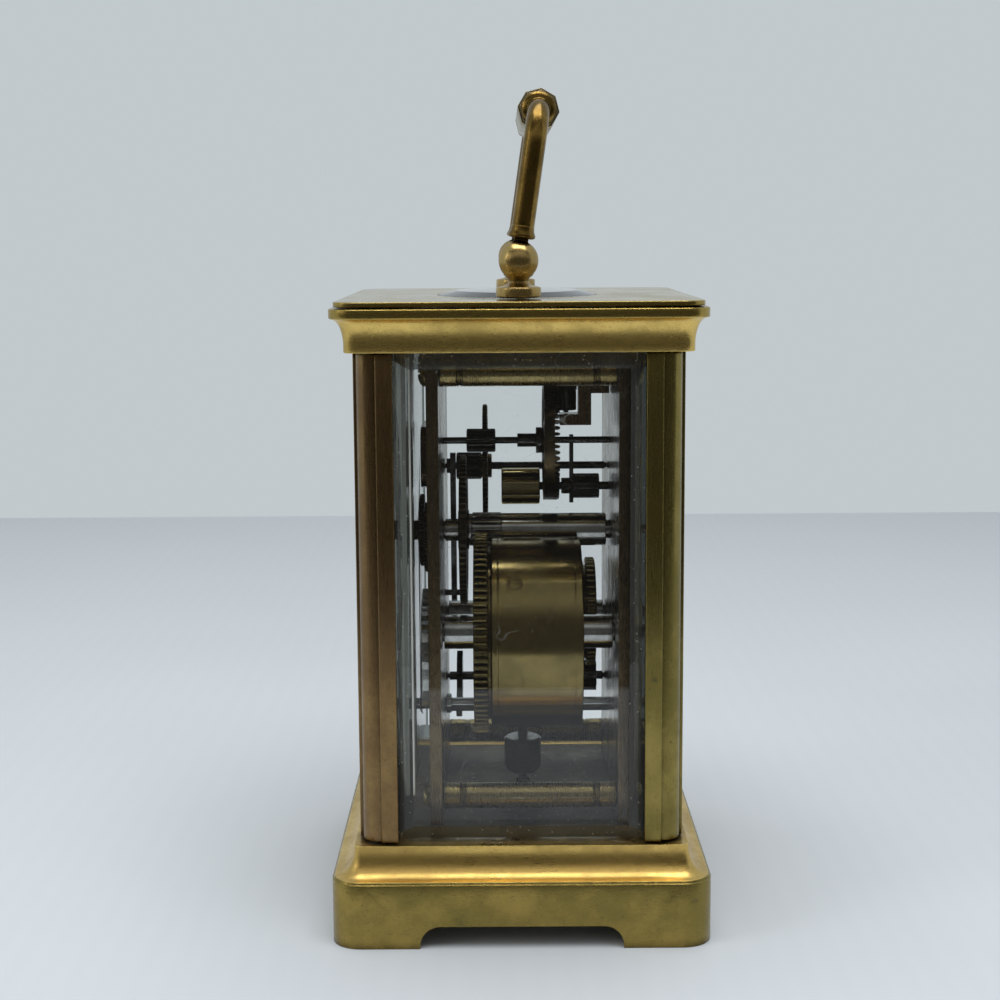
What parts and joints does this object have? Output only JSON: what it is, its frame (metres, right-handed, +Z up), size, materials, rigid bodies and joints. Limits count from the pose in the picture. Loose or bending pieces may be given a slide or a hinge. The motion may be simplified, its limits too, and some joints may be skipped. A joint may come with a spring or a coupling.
{
  "type": "carriage alarm clock",
  "caption": "Small glazed brass carriage alarm clock with bevelled panes, a folding bail handle on turned posts, a rear door, and an open spring-driven movement inside.",
  "frame": {"origin": "centre of the base on the surface that the clock stands on", "axes": "+Z up, -Y out of the dial, +X to the right as the dial is read"},
  "size_m": [0.0828, 0.0682, 0.1519],
  "materials": {
    "base_moulding": "aged, dull",
    "case_floor": "dark, aged",
    "pillar_front_left": "aged, dull",
    "pillar_front_right": "aged, dull",
    "pillar_rear_left": "aged, dull",
    "pillar_rear_right": "aged, dull",
    "cornice": "aged, dull",
    "top_plate": "aged, dull",
    "top_glass": "bevelled",
    "front_glass": "bevelled",
    "left_glass": "bevelled",
    "right_glass": "bevelled",
    "door_frame": "aged, dull",
    "door_glass": "bevelled",
    "door_knob": "aged, dull",
    "bell": "aged, dull",
    "bell_screw": "polished",
    "handle_post_left": "aged, dull",
    "handle_post_right": "aged, dull",
    "handle_pin_left": "polished",
    "handle_pin_right": "polished",
    "handle_arm_left": "aged, dull",
    "handle_arm_right": "aged, dull",
    "handle_grip": "aged, dull",
    "front_plate": "dark, aged",
    "back_plate": "dark, aged",
    "movement_pillar_top_left": "dark, aged",
    "movement_pillar_top_right": "dark, aged",
    "movement_pillar_bottom_left": "dark, aged",
    "movement_pillar_bottom_right": "dark, aged",
    "front_cock": "dark, aged",
    "platform": "dark, aged",
    "potence": "dark, aged",
    "going_barrel": "aged, dull",
    "barrel_arbor": "polished",
    "ratchet_wheel": "dark, aged",
    "click": "blued",
    "centre_arbor": "polished",
    "centre_wheel": "dark, aged",
    "third_arbor": "polished",
    "third_wheel": "dark, aged",
    "contrate_arbor": "polished",
    "contrate_wheel": "dark, aged",
    "escape_wheel": "polished",
    "balance_wheel": "aged, dull",
    "balance_cock": "aged, dull",
    "balance_spring": "blued",
    "setting_arbor": "polished",
    "minute_wheel": "dark, aged",
    "hour_wheel": "dark, aged",
    "dial": "white enamel",
    "hour_hand": "blued",
    "minute_hand": "blued",
    "alarm_barrel": "aged, dull",
    "alarm_arbor": "polished",
    "alarm_ratchet_wheel": "dark, aged",
    "alarm_hammer": "blued",
    "alarm_detent": "blued",
    "release_arbor": "polished",
    "alarm_setting_arbor": "polished"
  },
  "bodies": {
    "case": {"base_moulding": "base_moulding", "case_floor": "case_floor", "pillar_front_left": "pillar_front_left", "pillar_front_right": "pillar_front_right", "pillar_rear_left": "pillar_rear_left", "pillar_rear_right": "pillar_rear_right", "cornice": "cornice", "top_plate": "top_plate", "top_glass": "top_glass", "front_glass": "front_glass", "left_glass": "left_glass", "right_glass": "right_glass", "bell": "bell", "bell_screw": "bell_screw", "handle_post_left": "handle_post_left", "handle_post_right": "handle_post_right", "handle_pin_left": "handle_pin_left", "handle_pin_right": "handle_pin_right", "front_plate": "front_plate", "back_plate": "back_plate", "movement_pillar_top_left": "movement_pillar_top_left", "movement_pillar_top_right": "movement_pillar_top_right", "movement_pillar_bottom_left": "movement_pillar_bottom_left", "movement_pillar_bottom_right": "movement_pillar_bottom_right", "front_cock": "front_cock", "platform": "platform", "potence": "potence", "balance_cock": "balance_cock", "balance_spring": "balance_spring", "dial": "dial"},
    "door": {"door_frame": "door_frame", "door_glass": "door_glass", "door_knob": "door_knob"},
    "handle": {"handle_arm_left": "handle_arm_left", "handle_arm_right": "handle_arm_right", "handle_grip": "handle_grip"},
    "barrel": {"going_barrel": "going_barrel"},
    "winding": {"barrel_arbor": "barrel_arbor", "ratchet_wheel": "ratchet_wheel"},
    "click": {"click": "click"},
    "centre": {"centre_arbor": "centre_arbor", "centre_wheel": "centre_wheel"},
    "third": {"third_arbor": "third_arbor", "third_wheel": "third_wheel"},
    "contrate": {"contrate_arbor": "contrate_arbor", "contrate_wheel": "contrate_wheel"},
    "escape": {"escape_wheel": "escape_wheel"},
    "balance": {"balance_wheel": "balance_wheel"},
    "minute_setting": {"setting_arbor": "setting_arbor", "minute_hand": "minute_hand"},
    "minute_wheel": {"minute_wheel": "minute_wheel"},
    "hour": {"hour_wheel": "hour_wheel", "hour_hand": "hour_hand"},
    "alarm_barrel": {"alarm_barrel": "alarm_barrel"},
    "alarm_winding": {"alarm_arbor": "alarm_arbor"},
    "alarm_ratchet": {"alarm_ratchet_wheel": "alarm_ratchet_wheel"},
    "hammer": {"alarm_hammer": "alarm_hammer"},
    "detent": {"alarm_detent": "alarm_detent"},
    "release": {"release_arbor": "release_arbor"},
    "alarm_setting": {"alarm_setting_arbor": "alarm_setting_arbor"}
  },
  "joints": [
    {"name": "door_hinge", "type": "hinge", "parent": "case", "child": "door", "pos_m": [0.0279, 0.028, 0.06], "axis": [0, 0, -1], "range_deg": [0, 95]},
    {"name": "handle_pivot", "type": "hinge", "parent": "case", "child": "handle", "pos_m": [0, 0, 0.1216], "axis": [1, 0, 0], "range_deg": [-86, 102]},
    {"name": "contrate_spin", "type": "hinge", "parent": "case", "child": "contrate", "pos_m": [0, 0, 0.0867], "axis": [0, 1, 0], "continuous": true},
    {"name": "third_spin", "type": "hinge", "parent": "case", "child": "third", "pos_m": [-0.0124, 0, 0.0802], "axis": [0, 1, 0], "continuous": true},
    {"name": "centre_spin", "type": "hinge", "parent": "case", "child": "centre", "pos_m": [0, 0, 0.0692], "axis": [0, 1, 0], "continuous": true},
    {"name": "barrel_spin", "type": "hinge", "parent": "case", "child": "barrel", "pos_m": [0.0126, 0, 0.0516], "axis": [0, 1, 0], "continuous": true},
    {"name": "escape_spin", "type": "hinge", "parent": "case", "child": "escape", "pos_m": [0, 0.00933, 0.1], "axis": [0, 0, 1], "continuous": true},
    {"name": "winding_turn", "type": "hinge", "parent": "case", "child": "winding", "pos_m": [0.0126, 0, 0.0516], "axis": [0, 1, 0], "continuous": true},
    {"name": "click_lift", "type": "hinge", "parent": "case", "child": "click", "pos_m": [0.01684, 0, 0.03995], "axis": [0, 1, 0], "range_deg": [0, 12]},
    {"name": "balance_swing", "type": "hinge", "parent": "case", "child": "balance", "pos_m": [0, 0.00468, 0.109], "axis": [0, 0, 1], "range_deg": [-135, 135]},
    {"name": "minute_turn", "type": "hinge", "parent": "case", "child": "minute_setting", "pos_m": [0, 0, 0.0692], "axis": [0, 1, 0], "continuous": true},
    {"name": "minute_wheel_turn", "type": "hinge", "parent": "case", "child": "minute_wheel", "pos_m": [0.0084, 0, 0.0692], "axis": [0, 1, 0], "continuous": true},
    {"name": "hour_turn", "type": "hinge", "parent": "case", "child": "hour", "pos_m": [0, 0, 0.0692], "axis": [0, 1, 0], "continuous": true},
    {"name": "alarm_barrel_spin", "type": "hinge", "parent": "case", "child": "alarm_barrel", "pos_m": [-0.0185, 0, 0.049], "axis": [0, 1, 0], "continuous": true},
    {"name": "alarm_winding_turn", "type": "hinge", "parent": "case", "child": "alarm_winding", "pos_m": [-0.0185, 0, 0.049], "axis": [0, 1, 0], "continuous": true},
    {"name": "alarm_ratchet_spin", "type": "hinge", "parent": "case", "child": "alarm_ratchet", "pos_m": [-0.0185, 0, 0.0355], "axis": [0, 1, 0], "continuous": true},
    {"name": "hammer_swing", "type": "hinge", "parent": "case", "child": "hammer", "pos_m": [-0.009, 0, 0.0313], "axis": [0, 1, 0], "range_deg": [-4, 7.5]},
    {"name": "detent_lift", "type": "hinge", "parent": "case", "child": "detent", "pos_m": [-0.009, 0, 0.055], "axis": [0, 1, 0], "range_deg": [-4, 4]},
    {"name": "release_turn", "type": "hinge", "parent": "case", "child": "release", "pos_m": [-0.009, 0, 0.0765], "axis": [0, 1, 0], "range_deg": [-4, 4]},
    {"name": "alarm_setting_turn", "type": "hinge", "parent": "case", "child": "alarm_setting", "pos_m": [0, 0, 0.0345], "axis": [0, 1, 0], "continuous": true}
  ],
  "couplings": [
    {"joint": "third_spin", "follows": "contrate_spin", "ratio": -0.16667},
    {"joint": "centre_spin", "follows": "contrate_spin", "ratio": 0.027778},
    {"joint": "barrel_spin", "follows": "contrate_spin", "ratio": -0.0046296},
    {"joint": "escape_spin", "follows": "contrate_spin", "ratio": 6},
    {"joint": "minute_wheel_turn", "follows": "minute_turn", "ratio": -0.33333},
    {"joint": "hour_turn", "follows": "minute_turn", "ratio": 0.083333},
    {"joint": "alarm_ratchet_spin", "follows": "alarm_barrel_spin", "ratio": -4}
  ]
}
